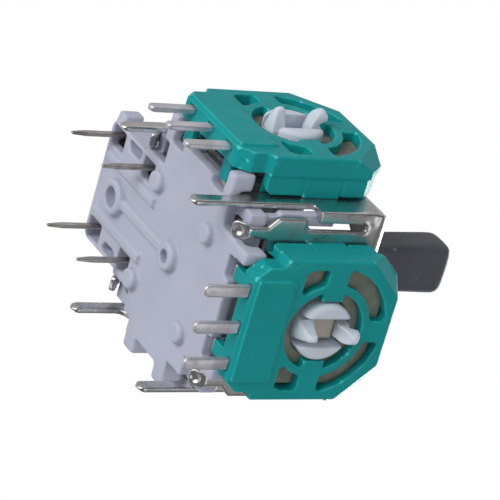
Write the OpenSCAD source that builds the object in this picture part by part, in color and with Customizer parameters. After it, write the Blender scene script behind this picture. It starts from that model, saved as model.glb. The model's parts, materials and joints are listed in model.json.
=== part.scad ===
/* [Stick] */
// Thickness of the stick's flat shaft from side to side
stick_x = 3.1; // [2.6:0.1:3.3]
// Thickness of the stick's flat shaft from front to back
stick_y = 2.7; // [2.2:0.1:2.9]
// Height of the stick's end above the board
stick_top = 20.9; // [17:0.1:26]
// Radius of the two pins that the stick swings on
pin_r = 0.6; // [0.5:0.05:0.65]
// Radius of the flange that the return spring pushes on
flange_r = 2.3; // [2:0.1:2.4]
// Radius of the rod below the flange
rod_r = 0.8; // [0.6:0.05:0.9]

/* [Rockers] */
// Height above the board of the axes that both rockers turn on
pivot_z = 6.65; // [6.5:0.05:7]
// Radius of the journals that run in the steel cover
journal_r = 1.7; // [1.4:0.05:1.9]
// Radius of the arch's domed outside
arch_r = 4.25; // [4.1:0.05:4.3]
// Radius of the arch's inside
arch_bore_r = 3.45; // [3.4:0.05:3.6]
// Width of the arch across its slot
arch_w = 4.8; // [4.4:0.1:5]
// Half length of the slot in the arch
slot_reach = 3.3; // [3.1:0.05:3.4]
// Clearance of the stick in the arch's slot, each side
slot_gap = 0.3; // [0.28:0.01:0.35]
// Radius of the lower rocker's shaft
shaft_r = 1.3; // [1:0.05:1.4]
// Radius of the lower rocker's end over the switch
presser_r = 1.1; // [0.9:0.05:1.2]
// Width of the tongues that drive the sensor rotors
tongue_w = 1.5; // [1.2:0.05:1.6]
// Height of the tongues that drive the sensor rotors
tongue_h = 2; // [1.8:0.05:2.1]
// Clearance of each tongue in its rotor
tongue_gap = 0.12; // [0.1:0.01:0.2]
// Radial clearance of journals and pins
run_gap = 0.06; // [0.03:0.01:0.1]

/* [Steel cover] */
// Outside width of the square cover
cover_w = 13.4; // [13.2:0.1:13.8]
// Thickness of the steel sheet
sheet_t = 0.4; // [0.3:0.05:0.45]
// Height of the cover's top above the board
cover_top = 11.4; // [11.4:0.1:12.4]
// Outside radius of the bends round the top
bend_r = 1.1; // [0.8:0.1:1.3]
// Radius of the round opening for the stick
opening_r = 4.8; // [4.6:0.1:5]
// Reach of the four legs below the board's top face
leg_drop = 2.5; // [2.4:0.1:3.6]
// Width of each leg
leg_w = 0.95; // [0.8:0.05:1.2]
// Distance from a leg's middle to the cover's corner
leg_inset = 1.7; // [1.6:0.05:1.8]

/* [Base] */
// Height of the round feet, which sets the underside above the board
foot_h = 0.55; // [0.4:0.05:0.7]
// Radius of the round feet
foot_r = 0.7; // [0.5:0.05:0.9]
// Distance from a foot's middle to the cover's side
foot_inset = 3.2; // [3.1:0.05:3.4]
// Thickness of the base's floor
floor_t = 0.8; // [0.6:0.05:0.9]
// Height of the base's rim above the floor's underside
rim_h = 1.9; // [1.6:0.1:2]
// Outside radius of the ring boss under the stick
ring_r = 0.95; // [0.8:0.05:1.1]
// Radius of the hole in the ring boss under the stick
ring_hole_r = 0.45; // [0.35:0.05:0.6]
// Outside radius of the ring boss under the switch
switch_ring_r = 1.2; // [1:0.05:1.4]
// Radius of the hole in the ring boss under the switch
switch_ring_hole_r = 0.68; // [0.5:0.02:0.9]
// Height of the ribs under the switch
rib_h = 0.3; // [0.2:0.05:0.4]
// Width of the ribs under the switch
rib_w = 0.75; // [0.5:0.05:0.9]

/* [Push switch] */
// Distance from the stick's axis to the switch
switch_y = 8.05; // [8:0.05:8.3]
// Width of the switch body
switch_w = 5.9; // [5.7:0.1:5.9]
// Depth of the switch body, along the lower rocker
switch_d = 5.5; // [5.3:0.1:5.5]
// Radius of the button
button_r = 1.7; // [1.5:0.05:1.8]
// Distance from the switch body's side to a pin's middle
switch_pin_out = 0.4; // [0.35:0.05:0.5]
// Distance from a pin's middle to the switch body's end
switch_pin_inset = 0.4; // [0.35:0.05:0.5]
// Thickness of the base's wall outside the openings for the switch's terminals
extension_wall = 0.25; // [0.2:0.05:0.6]

/* [Sensor housings] */
// Depth of a sensor in front of the cover
sensor_depth = 2.8; // [2.7:0.1:3.8]
// Width of a housing
housing_w = 9.7; // [9.5:0.1:10.1]
// Height of a housing's top above the board
housing_top = 11.4; // [11.3:0.1:11.8]
// Height of a housing's underside above the board
housing_bottom = 0.75; // [0.7:0.05:0.9]
// Thickness of a housing's front wall over its board
front_t = 0.65; // [0.5:0.05:0.7]
// Thickness of a housing's side walls
wall_t = 0.7; // [0.5:0.05:0.8]
// Inside radius of the ring round the rotor
hub_ring_in = 2.7; // [2.6:0.05:2.8]
// Outside radius of the ring round the rotor
hub_ring_out = 3.25; // [3.1:0.05:3.4]
// Width of a housing's face beside its large windows
window_wall = 0.5; // [0.4:0.05:0.8]
// Width of the spokes between the windows
spoke_w = 1.5; // [1:0.1:1.8]
// Height that the terminal band stands proud
band_t = 0.2; // [0.1:0.05:0.3]

/* [Sensor parts] */
// Thickness of the resistance board
board_t = 0.7; // [0.6:0.05:0.8]
// Distance between the terminals of a sensor
terminal_pitch = 2.5; // [2.4:0.02:2.54]
// Width of a sensor terminal
terminal_w = 0.8; // [0.6:0.05:0.9]
// Thickness of a sensor terminal
terminal_t = 0.35; // [0.25:0.05:0.35]
// Reach of the sensor terminals below the board's top face
terminal_drop = 2.35; // [2.25:0.1:2.45]
// Radius of the rotor's boss in the resistance board
rotor_r = 1.95; // [1.8:0.05:2]
// Gap between the rotor's flange and the housing's side wall
flange_gap = 0.4; // [0.3:0.05:0.6]
// Length that the rotor's hooked prongs stand out of the face
prong_out = 1.2; // [0.8:0.1:1.5]

/* [Spring] */
// Mean radius of the return spring
spring_r = 1.75; // [1.7:0.05:1.85]
// Diameter of the spring's wire
wire_d = 0.3; // [0.2:0.02:0.32]
// Radius of the dished spring foot
dish_r = 3; // [2.7:0.1:3.1]

/* [Hidden] */

// Fineness of the round faces
$fn = 64;
// Overrun of a cut past the face that it starts from
cut = 1;
// Gap between two faces that only touch
touch = 0.02;
// Gap between pieces that pass each other
pass_gap = 0.1;
// Gap round pieces that fit together and stay still
fit = 0.05;
// Depth that one shape reaches into another of the same piece
bite = 0.2;
// Length of a cut that runs out of the part
far = 20;

// The steel cover
plate_out = cover_w / 2;
plate_in = plate_out - sheet_t;
leg_y = plate_out - leg_inset;
// Lower edge of the side plates
plate_low = 2.6;
// Height at which the bends start
bend_low = cover_top - bend_r;
// Terminal openings of the switch and the half width of the base's extension
pin_hole_side = 0.65;
switch_pin_x = switch_w / 2 + switch_pin_out;
switch_pin_y = switch_d / 2 - switch_pin_inset;
pin_hole_out = switch_pin_x + pin_hole_side;
extension_half = pin_hole_out + extension_wall;
// Half width of every side plate beside its wide part, between the extension and the cover's corner
plate_share = 0.5;
plate_half = extension_half + plate_share * (plate_out - extension_half);
// The wide part of the left and right plates, and the turned-in front edge of the left one
wide_x_low = 6.1;
wide_x_half = plate_out - 0.5;
// The left plate's front edge is turned in and ends just short of the front plate
lip_out = plate_out - 0.15;
lip_w = 0.75;
// The wide part of the front and rear plates, with its lower corner cut off
wide_y_high = 5.2;
wide_y_half = plate_in - fit;
wide_chamfer = 0.55;
// Tabs that hang into the base's notches under each sensor
tab_x = 2.55;
tab_w = 0.9;
tab_low = 1.05;
// Crimp tabs folded under the base's corners
crimp_inset = 0.3;
crimp_x = plate_half - crimp_inset;
crimp_w = 1.1;
crimp_neck = 0.75;
crimp_r = 0.3;
crimp_turn_z = foot_h + floor_t - 0.15;
crimp_len = 1.15;
crimp_angle = 45;
dimple_r = 0.3;
dimple_depth = 0.15;
// Taper of each leg's tip, seen along the sheet
tip_len = 0.45;
tip_inset = 0.12;

// The base
base_top = foot_h + rim_h;
floor_top = foot_h + floor_t;
rim_out = plate_in - fit;
rim_t = 0.8;
post_out = rim_out - 2 * pass_gap;
post_top = wide_x_low + 0.6;
// Corners cut out of the lower layer for the crimp tabs
corner_x = crimp_x - crimp_w / 2 - fit;
corner_front = corner_x;
corner_rear = corner_x - 0.8;
side_x = plate_out - 0.75;
side_tongue = 2.4;
edge_in = rim_out;
edge_out = plate_out + 0.15;
edge_tongue = 2;
// Lugs beside each sensor and on the right side
lug_x = 4;
lug_w = 0.9;
lug_out = plate_out + 1.3;
lug_top = 2.2;
lug_t = 0.7;
lug_r = 0.25;
right_lug_y = 2.4;
right_lug_w = 0.8;
right_lug_out = plate_out + 1.2;

// The push switch
pocket_z = foot_h + 0.7;
switch_top = 4.45;
lid_t = 0.2;
button_top = pivot_z - presser_r - fit;
extension_end = switch_y + switch_d / 2 + 0.25;
extension_top = 2.9;
extension_r = 0.6;
switch_pin_w = 0.5;
switch_pin_t = 0.26;
switch_pin_taper = 1.1;
switch_pin_tip = 0.1;
switch_pin_drop = 2.65;
switch_pin_z = 1.7;
switch_cavity_r = 2.2;
switch_cavity_floor = 2.3;
button_flange_r = 2;
button_flange_t = 0.5;
dome_t = 0.1;
dome_h = 0.4;
button_nub_r = 0.6;
// Openings under the switch for its terminals
pin_hole_in = switch_w / 2 - 0.3;
pin_hole_len = 1.6;
pin_hole_more = 1.1;
pin_hole_front = switch_pin_y + pin_hole_more;
pin_hole_rear = switch_pin_y - pin_hole_more - 0.3;
pin_hole_end = 0.3;
rib_x = pin_hole_in - 0.65;
rib_start = 0.4;
rib_end = 0.7;
// Room above the switch's lid in the cover
switch_gap = 0.25;
d_recess_in = pin_hole_out - 0.7;
d_recess_gap = 0.6;
d_recess_len = 1.9;
d_recess_depth = 0.9;
// Blind holes of the ring bosses, above the base's underside
ring_hole_depth = 0.35;
boss_edge = 0.12;

// The sensors, in the front sensor's place
face_y = plate_out + sensor_depth;
window_r = housing_w / 2 - window_wall;
window_corner = min(0.25, (window_r - hub_ring_out) / 3);
small_window_more = 0.25;
board_y = -(face_y - front_t);
board_back = board_y + board_t;
side_inset = 0.12;
board_gap = 0.03;
board_half = housing_w / 2 - side_inset - wall_t - board_gap;
board_low = 1;
board_top = housing_top - wall_t;
housing_back = plate_out;
step_z = 2.6;
low_half = housing_w / 2 - 0.55;
low_chamfer_x = 0.8;
low_chamfer_z = 0.85;
top_chamfer_x = 1.2;
top_chamfer_z = 1.3;
facet_x = housing_w / 2 - 1.35;
facet_z = housing_top - 1.2;
facet_depth = 0.8;
facet_run = 0.85;
rim_depth = 0.6;
flap_slot_low = 5.5;
flap_slot_high = 8.3;
flap_short = 0.25;
flap_r = 0.5;
flap_slot_w = 0.16;
middle_tab_low = 5.6;
small_window_low = 4.3;
small_window_out = housing_w / 2 - 0.65;
tab_in_r = 2.07;
band_half = terminal_pitch + 1;
band_r = 0.2;
band_low = 0.95;
band_high = 3.65;
terminal_top = 2.9;
terminal_tip = 0.35;
hook_x = 2.55;
hook_w = 0.9;
hook_high = 1.55;
hook_root = 0.3;

// The rotors
rotor_back = -(plate_out + 0.35);
rotor_flange_r = board_half - flange_gap;
rotor_flange_t = 0.8;
rotor_front = rotor_back - rotor_flange_t;
prong_in = tongue_h / 2 + tongue_gap;
prong_half = 0.66;
prong_neck = 0.3;
prong_neck_len = 1.3;
prong_hook = 0.25;
prong_hook_len = 0.65;
prong_nose = 0.4;
// The prong without a hook, which narrows to its tip
claw_half = 0.85;
claw_tip = 0.36;
claw_len = 1.5;
claw_in = 0.95;
crescent_in = 1;
crescent_out = 0.25;
crescent_round = 0.35;
prong_y = -(face_y + prong_out);
wiper_t = 0.12;
wiper_gap = 0.25;
wiper_out = rotor_flange_r - bite;
wiper_in = rotor_r + wiper_gap;
tongue_end = face_y - front_t + 0.1;
pad_r = 0.3;

// The rockers
collar_r = journal_r + 0.4;
collar_in = plate_in - 0.5;
journal_out = 0.2;
frame_x = 2.5;
frame_y = 2.8;
frame_z = 0.95;
frame_slot_x = 1.7;
frame_slot_y = 2.2;
presser_end = switch_y + 1.35;
arch_foot = -1.2;
boss_in = arch_bore_r;
boss_out = plate_in - 1.6;
boss_r = 2.2;

// The stick and its spring, below the pivot
stick_edge_r = 0.45;
stick_chamfer = 0.35;
hub_x = 3.2;
hub_h = 1.3;
neck_x = 2.4;
neck_y = 2.2;
flange_z = -2.3;
flange_t = 0.5;
rod_end = -4.6;
dish_sphere_r = pivot_z - floor_top - fit;
dish_t = 0.9;
dish_top = -(dish_sphere_r - dish_t);
foot_tube_r = 1.3;
foot_tube_h = 0.8;
foot_tube_top = dish_top + foot_tube_h;
foot_bore_end = -5;
turns = 3;
coil_steps = 24;
wire_sides = 8;

// Colours
plastic_grey = [0.68, 0.69, 0.76];
teal = [0.1, 0.58, 0.58];
steel = [0.75, 0.75, 0.76];
tin = [0.7, 0.69, 0.68];
phenolic = [0.45, 0.41, 0.33];
white = [0.86, 0.86, 0.89];
beige = [0.72, 0.66, 0.58];
dark = [0.22, 0.22, 0.24];
black = [0.12, 0.12, 0.13];
bronze = [0.75, 0.6, 0.35];

// A flat outline drawn in the X-Z plane, from one depth to another
module slab_y(y0, y1) {
    translate([0, y1, 0]) rotate([90, 0, 0]) linear_extrude(y1 - y0) children();
}

// A flat outline drawn in the Y-Z plane, from one side to another
module slab_x(x0, x1) {
    translate([x0, 0, 0]) rotate([90, 0, 90]) linear_extrude(x1 - x0) children();
}

// A box given by two corners
module block(low, high) {
    translate(low) cube(high - low);
}

// A cylinder along Y at the pivot's height
module rod_y(r, y0, y1) {
    translate([0, y1, pivot_z]) rotate([90, 0, 0]) cylinder(r = r, h = y1 - y0);
}

// A cylinder along X at the pivot's height
module rod_x(r, x0, x1) {
    translate([x0, 0, pivot_z]) rotate([0, 90, 0]) cylinder(r = r, h = x1 - x0);
}

// Copies on both sides of the Y-Z plane
module both_sides() {
    for (s = [0, 1]) mirror([s, 0, 0]) children();
}

// A piece of the front sensor, moved to the left side
module on_left() {
    rotate([0, 0, -90]) children();
}

// Rectangle with round corners
module round_rect(w, d, r) {
    square([w - 2 * r, d], center = true);
    square([w, d - 2 * r], center = true);
    for (a = [-1, 1], b = [-1, 1]) translate([a * (w / 2 - r), b * (d / 2 - r)]) circle(r = r);
}

// Profile with two round upper corners, w wide, up to the height top
module bent_profile(w, bottom, top, r) {
    translate([-w / 2, bottom]) square([w, top - r - bottom]);
    translate([-w / 2 + r, bottom]) square([w - 2 * r, top - bottom]);
    for (s = [-1, 1]) translate([s * (w / 2 - r), top - r]) circle(r = r);
}

// Solid cap shape of the cover, round along all four upper edges
module cap(w, bottom, top, r) {
    intersection() {
        slab_y(-w / 2, w / 2) bent_profile(w, bottom, top, r);
        slab_x(-w / 2, w / 2) bent_profile(w, bottom, top, r);
    }
}

// Outline of one leg, with a round tip
module leg_outline() {
    translate([-leg_w / 2, -leg_drop + leg_w / 2]) square([leg_w, plate_low + leg_drop - leg_w / 2 + cut]);
    translate([0, -leg_drop + leg_w / 2]) circle(r = leg_w / 2);
}

// Section of a leg through the sheet, thinner at its tip
module leg_section() {
    polygon([
        [plate_in + tip_inset, -leg_drop], [plate_out - tip_inset, -leg_drop],
        [plate_out, -leg_drop + tip_len], [plate_out, plate_low + cut],
        [plate_in, plate_low + cut], [plate_in, -leg_drop + tip_len]]);
}

// Places a shape on the folded part of a crimp tab, with its outer face in the X-Y plane
module crimp_place() {
    translate([crimp_x, -plate_out, crimp_turn_z]) rotate([-crimp_angle, 0, 0]) children();
}

// A crimp tab at a corner of the front plate, folded in under the base
module crimp_tab() {
    block([crimp_x - crimp_neck / 2, -plate_out, crimp_turn_z],
        [crimp_x + crimp_neck / 2, -plate_in, plate_low + bite]);
    difference() {
        crimp_place() translate([0, crimp_len / 2, 0]) linear_extrude(sheet_t)
            round_rect(crimp_w, crimp_len, crimp_r);
        crimp_place() translate([0, crimp_len * 0.6, -cut]) cylinder(r = dimple_r, h = cut + dimple_depth);
    }
}

// Two tabs of one plate that hang into the base's notches
module sensor_tabs() {
    for (s = [-1, 1])
        block([s * tab_x - tab_w / 2, -plate_out, tab_low],
            [s * tab_x + tab_w / 2, -plate_in, plate_low + bite]);
}

// Wide lower part of a front or rear plate at one side, with its lower corner cut off
module wide_lower_part() {
    slab_y(-plate_out, -plate_in) polygon([
        [plate_half - bite, plate_low], [wide_y_half - wide_chamfer, plate_low],
        [wide_y_half, plate_low + wide_chamfer], [wide_y_half, wide_y_high],
        [plate_half - bite, wide_y_high]]);
}

module steel_cover() {
    color(steel) {
        difference() {
            cap(cover_w, plate_low, cover_top, bend_r);
            cap(cover_w - 2 * sheet_t, plate_low - cut, cover_top - sheet_t, bend_r - sheet_t);
            translate([0, 0, cover_top - 2 * sheet_t]) cylinder(r = opening_r, h = 3 * sheet_t);
            // Open corners between the side plates
            for (a = [0, 1], b = [0, 1]) mirror([a, 0, 0]) mirror([0, b, 0])
                block([plate_half, plate_half, -far], [far, far, bend_low]);
            // Room above the switch and the slot for the rocker's end
            block([-extension_half, plate_in - cut, plate_low - cut],
                [extension_half, plate_out + cut, switch_top + lid_t + switch_gap]);
            rod_y(presser_r + pass_gap, plate_in - cut, plate_out + cut);
            block([-presser_r - pass_gap, plate_in - cut, switch_top],
                [presser_r + pass_gap, plate_out + cut, pivot_z]);
            // Bearings of the rockers
            rod_y(journal_r + run_gap, -plate_out - cut, -plate_in + cut);
            rod_x(journal_r + run_gap, -plate_out - cut, plate_out + cut);
        }
        // Wide upper parts of the left and right plates
        for (a = [0, 1], b = [0, 1]) mirror([a, 0, 0]) mirror([0, b, 0])
            block([plate_in, plate_half - bite, wide_x_low], [plate_out, wide_x_half, bend_low]);
        block([-plate_out, -lip_out, wide_x_low], [-plate_in, -plate_half + bite, bend_low]);
        block([-plate_out, -lip_out, wide_x_low], [-plate_out + lip_w, -lip_out + sheet_t, bend_low]);
        // Wide lower parts of the front and rear plates, which carry the crimp tabs
        for (a = [0, 1], b = [0, 1]) mirror([a, 0, 0]) mirror([0, b, 0]) {
            wide_lower_part();
            crimp_tab();
        }
        // Legs
        for (a = [0, 1], b = [-1, 1]) mirror([a, 0, 0])
            intersection() {
                slab_x(plate_in, plate_out) translate([b * leg_y, 0]) leg_outline();
                slab_y(-far, far) leg_section();
            }
        sensor_tabs();
        on_left() sensor_tabs();
    }
}

// Lower layer of the base: cut corners, edges stepped for the plates and their tabs
module base_outline() {
    difference() {
        union() {
            square([2 * edge_in, 2 * edge_in], center = true);
            translate([-edge_tongue, -edge_out]) square([2 * edge_tongue, edge_out]);
            translate([-edge_out, -edge_tongue]) square([edge_out, 2 * edge_tongue]);
            translate([0, -side_tongue]) square([edge_out - pass_gap, 2 * side_tongue]);
        }
        for (s = [0, 1]) mirror([s, 0]) {
            translate([corner_x, -corner_front - far]) square([far, far]);
            translate([corner_x, corner_rear]) square([far, far]);
        }
        for (s = [0, 1]) mirror([0, s]) translate([side_x, side_tongue]) square([far, far]);
    }
}

// Outline of the extension, from a depth on, with its two far corners round
module extension_outline(y0) {
    inner = extension_half - extension_r;
    translate([-extension_half, y0]) square([2 * extension_half, extension_end - extension_r - y0]);
    translate([-inner, y0]) square([2 * inner, extension_end - y0]);
    for (s = [-1, 1]) translate([s * inner, extension_end - extension_r]) circle(r = extension_r);
}

// A bar with round edges along its top, from one depth to another
module round_bar(x, w, y0, y1, z0, z1) {
    slab_y(y0, y1) {
        translate([x - w / 2, z0]) square([w, z1 - z0 - lug_r]);
        translate([x - w / 2 + lug_r, z0]) square([w - 2 * lug_r, z1 - z0]);
        for (s = [-1, 1]) translate([x + s * (w / 2 - lug_r), z1 - lug_r]) circle(r = lug_r);
    }
}

// One lug that stands beside a sensor
module sensor_lug() {
    block([lug_x - lug_w / 2, -lug_out + lug_t, foot_h], [lug_x + lug_w / 2, -edge_in + bite, foot_h + lug_t]);
    round_bar(lug_x, lug_w, -lug_out, -plate_out - pass_gap, foot_h, lug_top);
}

// A round boss under the base, with a narrow bevel round its end
module boss(r) {
    translate([0, 0, boss_edge]) cylinder(r = r, h = foot_h + bite - boss_edge);
    cylinder(r1 = r - boss_edge, r2 = r, h = boss_edge);
}

// A rib under the base with a bevelled edge, along the extension
module rib(x, y0, y1) {
    slab_y(y0, y1) polygon([
        [x - rib_w / 2, foot_h + bite], [x - rib_w / 2, foot_h - rib_h + boss_edge],
        [x - rib_w / 2 + boss_edge, foot_h - rib_h], [x + rib_w / 2 - boss_edge, foot_h - rib_h],
        [x + rib_w / 2, foot_h - rib_h + boss_edge], [x + rib_w / 2, foot_h + bite]]);
}

// One opening for a switch terminal, from its inner corner
module pin_hole(y0, y1) {
    block([pin_hole_in, y0, foot_h - cut], [pin_hole_out, y1, extension_top + cut]);
}

// Half-round recess between two terminals
module d_recess() {
    r = d_recess_len / 2;
    intersection() {
        translate([pin_hole_out, switch_y - d_recess_gap, foot_h - cut])
            cylinder(r = r, h = cut + d_recess_depth);
        block([d_recess_in, switch_y - d_recess_gap - r, foot_h - cut],
            [pin_hole_out, switch_y - d_recess_gap + r, foot_h + d_recess_depth]);
    }
}

module base() {
    color(plastic_grey) {
        difference() {
            union() {
                translate([0, 0, foot_h]) linear_extrude(floor_t) base_outline();
                // Rim inside the cover
                difference() {
                    block([-rim_out, -rim_out, floor_top - touch], [rim_out, rim_out, base_top]);
                    block([-rim_out + rim_t, -rim_out + rim_t, foot_h],
                        [rim_out - rim_t, rim_out - rim_t, base_top + cut]);
                }
                // Posts in the cover's corners
                for (a = [0, 1], b = [0, 1]) mirror([a, 0, 0]) mirror([0, b, 0])
                    block([rim_out - rim_t, rim_out - rim_t, floor_top], [post_out, post_out, post_top]);
                // Extension that carries the switch
                translate([0, 0, foot_h]) linear_extrude(floor_t) extension_outline(corner_rear - bite);
                translate([0, 0, foot_h]) linear_extrude(extension_top - foot_h)
                    extension_outline(rim_out - rim_t);
                both_sides() sensor_lug();
                on_left() both_sides() sensor_lug();
                for (s = [-1, 1]) rotate([0, 0, 90])
                    round_bar(s * right_lug_y, right_lug_w, -right_lug_out, -side_x + bite, foot_h, lug_top);
                // Feet and ring bosses
                for (a = [-1, 1], b = [-1, 1])
                    translate([a * (plate_out - foot_inset), b * (plate_out - foot_inset), 0]) boss(foot_r);
                boss(ring_r);
                translate([0, switch_y, 0]) boss(switch_ring_r);
                // Bar between the ring bosses and the two ribs beside it
                rib(0, ring_r - bite, switch_y - switch_ring_r + bite);
                for (s = [-1, 1]) rib(s * rib_x, corner_rear - rib_start, extension_end - rib_end);
            }
            // Pocket of the switch body
            block([-switch_w / 2 - touch, switch_y - switch_d / 2 - touch, pocket_z],
                [switch_w / 2 + touch, switch_y + switch_d / 2 + touch, extension_top + cut]);
            // Rear plate of the cover passes down here
            both_sides() block([extension_half - fit, plate_in - fit, floor_top],
                [far, plate_out + fit, extension_top + cut]);
            both_sides() {
                pin_hole(switch_y + pin_hole_rear, extension_end - pin_hole_end);
                pin_hole(switch_y - pin_hole_front, switch_y - pin_hole_front + pin_hole_len);
                d_recess();
            }
            // Blind holes of the ring bosses
            translate([0, 0, -cut]) cylinder(r = ring_hole_r, h = cut + foot_h + ring_hole_depth);
            translate([0, switch_y, -cut]) cylinder(r = switch_ring_hole_r, h = cut + foot_h + ring_hole_depth);
        }
    }
}

module switch_body() {
    color(black) difference() {
        block([-switch_w / 2, switch_y - switch_d / 2, pocket_z], [switch_w / 2, switch_y + switch_d / 2, switch_top]);
        translate([0, switch_y, switch_cavity_floor]) cylinder(r = switch_cavity_r, h = switch_top);
    }
}

module switch_lid() {
    color(steel) difference() {
        block([-switch_w / 2, switch_y - switch_d / 2, switch_top],
            [switch_w / 2, switch_y + switch_d / 2, switch_top + lid_t]);
        translate([0, switch_y, switch_top - cut]) cylinder(r = button_r + run_gap, h = 2 * cut + lid_t);
    }
}

// Snap dome: a shallow spherical cap resting on the cavity's floor
module switch_dome() {
    rim = switch_cavity_r - pass_gap;
    sphere_r = (rim * rim + dome_h * dome_h) / (2 * dome_h);
    color(bronze) translate([0, switch_y, switch_cavity_floor + touch]) rotate_extrude() intersection() {
        square([rim, dome_h]);
        difference() {
            translate([0, dome_h - sphere_r]) circle(r = sphere_r);
            translate([0, dome_h - sphere_r]) circle(r = sphere_r - dome_t);
        }
    }
}

module switch_button() {
    color(black) translate([0, switch_y, 0]) {
        translate([0, 0, switch_top - button_flange_t - touch])
            cylinder(r = button_flange_r, h = button_flange_t);
        translate([0, 0, switch_top - button_flange_t - touch])
            cylinder(r = button_r, h = button_top - switch_top + button_flange_t + touch);
        translate([0, 0, switch_cavity_floor + dome_h + 2 * touch])
            cylinder(r = button_nub_r, h = switch_top - button_flange_t - switch_cavity_floor - dome_h);
    }
}

// Terminal of the switch: a strip out of the body's side, bent down through the base
module switch_terminal(side, end) {
    x_in = switch_w / 2;
    x_mid = switch_pin_x;
    t = switch_pin_t / 2;
    low = -switch_pin_drop;
    color(tin) mirror([side > 0 ? 0 : 1, 0, 0]) intersection() {
        slab_y(switch_y + end * switch_pin_y - switch_pin_w / 2,
            switch_y + end * switch_pin_y + switch_pin_w / 2)
            polygon([
                [x_in, switch_pin_z], [x_mid + t - touch, switch_pin_z],
                [x_mid + t, switch_pin_z - 2 * touch],
                [x_mid + t, low + switch_pin_taper], [x_mid + switch_pin_tip, low + switch_pin_tip],
                [x_mid, low], [x_mid - switch_pin_tip, low + switch_pin_tip],
                [x_mid - t, low + switch_pin_taper],
                [x_mid - t, switch_pin_z - 2 * t], [x_in, switch_pin_z - 2 * t]]);
        translate([0, switch_y + end * switch_pin_y, 0]) slab_x(0, far) polygon([
            [-switch_pin_w / 2, switch_pin_z + cut], [-switch_pin_w / 2, low + switch_pin_taper],
            [-switch_pin_tip, low], [switch_pin_tip, low],
            [switch_pin_w / 2, low + switch_pin_taper], [switch_pin_w / 2, switch_pin_z + cut]]);
    }
}

// Outline of a housing, seen from its front
module housing_outline(inset = 0) {
    h = housing_w / 2 - inset;
    l = low_half - inset;
    t = housing_top - inset;
    polygon([
        [-l + low_chamfer_x, housing_bottom], [l - low_chamfer_x, housing_bottom],
        [l, housing_bottom + low_chamfer_z], [l, step_z], [h, step_z + bite],
        [h, t - top_chamfer_z], [h - top_chamfer_x, t], [-h + top_chamfer_x, t],
        [-h, t - top_chamfer_z], [-h, step_z + bite], [-l, step_z], [-l, housing_bottom + low_chamfer_z]]);
}

// Openings in a housing's front: the hub, two arcs above and two small windows below
module housing_windows() {
    translate([0, pivot_z]) difference() {
        circle(r = hub_ring_in);
        // Tabs that reach in from both sides
        for (s = [0, 1]) mirror([s, 0]) translate([tab_in_r, -spoke_w / 2]) square([far, spoke_w]);
    }
    round_corners() translate([0, pivot_z]) difference() {
        circle(r = window_r);
        circle(r = hub_ring_out);
        translate([-far / 2, -far + spoke_w / 2]) square([far, far]);
        translate([-spoke_w / 2, 0]) square([spoke_w, far]);
    }
    for (s = [0, 1]) mirror([s, 0]) round_corners() difference() {
        intersection() {
            translate([0, small_window_low]) square([small_window_out, pivot_z - spoke_w / 2 - small_window_low]);
            translate([0, pivot_z]) circle(r = window_r + small_window_more);
        }
        translate([0, pivot_z]) circle(r = hub_ring_out);
    }
}

// The same outline with its corners rounded
module round_corners() {
    offset(r = window_corner, $fn = 24) offset(delta = -window_corner) children();
}

// Cut that bevels one upper corner of a housing's front
module corner_facet() {
    slope = facet_run / facet_depth;
    translate([facet_x, -face_y, facet_z]) rotate([0, 45, 0]) rotate([90, 0, 90])
        translate([0, 0, -far / 2]) linear_extrude(far)
        polygon([[-cut, -cut * slope], [facet_depth, facet_run], [facet_depth, far], [-cut, far]]);
}

module sensor_housing() {
    color(teal) {
        difference() {
            union() {
                slab_y(-face_y, board_back) housing_outline();
                slab_y(-face_y + rim_depth, -housing_back) intersection() {
                    housing_outline(side_inset);
                    translate([-far / 2, step_z + bite]) square([far, far]);
                }
                slab_y(-face_y - band_t, -face_y + bite) terminal_band();
            }
            both_sides() corner_facet();
            slab_y(-face_y - cut, board_y + cut) housing_windows();
            // Seat of the board
            slab_y(board_y, -housing_back + cut)
                translate([-board_half - board_gap, board_low - board_gap])
                square([2 * (board_half + board_gap), board_top - board_low + 2 * board_gap]);
            // Lower part ends at the board's back
            block([-far, board_back, -cut], [far, 0, step_z + bite]);
            // Room for the terminals
            for (k = [-1, 0, 1])
                block([k * terminal_pitch - terminal_w / 2 - fit, board_y - terminal_t - fit, housing_bottom - cut],
                    [k * terminal_pitch + terminal_w / 2 + fit, board_y + fit, terminal_top + fit]);
            // Slots between the side flaps, whose ends stay short of the cover
            both_sides() {
                for (z = [flap_slot_low, flap_slot_high])
                    block([board_half + pass_gap, board_back, z - flap_slot_w / 2], [far, 0, z + flap_slot_w / 2]);
                for (z = [[step_z, flap_slot_low], [flap_slot_high, housing_top + cut]])
                    block([board_half + pass_gap, -housing_back - flap_short, z[0]], [far, 0, z[1]]);
                // Rounded lower corner of the lowest flap
                flap_corner();
            }
        }
        // Hooks that reach back under the cover's tabs
        for (s = [-1, 1])
            block([s * hook_x - hook_w / 2, board_back - hook_root, housing_bottom + bite],
                [s * hook_x + hook_w / 2, -housing_back, hook_high]);
    }
}

// Band over the terminals, with round corners
module terminal_band() {
    translate([0, (band_low + band_high) / 2]) round_rect(2 * band_half, band_high - band_low, band_r);
}

// Cut that rounds the lower rear corner of a side flap
module flap_corner() {
    slab_x(board_half + pass_gap, far) difference() {
        translate([-housing_back - flap_short - flap_r, step_z + bite - cut]) square([far, flap_r + cut]);
        translate([-housing_back - flap_short - flap_r, step_z + bite + flap_r]) circle(r = flap_r);
    }
}

module sensor_board() {
    color(phenolic) difference() {
        slab_y(board_y, board_back)
            translate([-board_half, board_low]) square([2 * board_half, board_top - board_low]);
        rod_y(rotor_r + run_gap, board_y - cut, board_back + cut);
        for (s = [-1, 1])
            block([s * hook_x - hook_w / 2 - fit, board_back - hook_root - fit, 0],
                [s * hook_x + hook_w / 2 + fit, board_back + cut, hook_high + fit]);
    }
}

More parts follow.
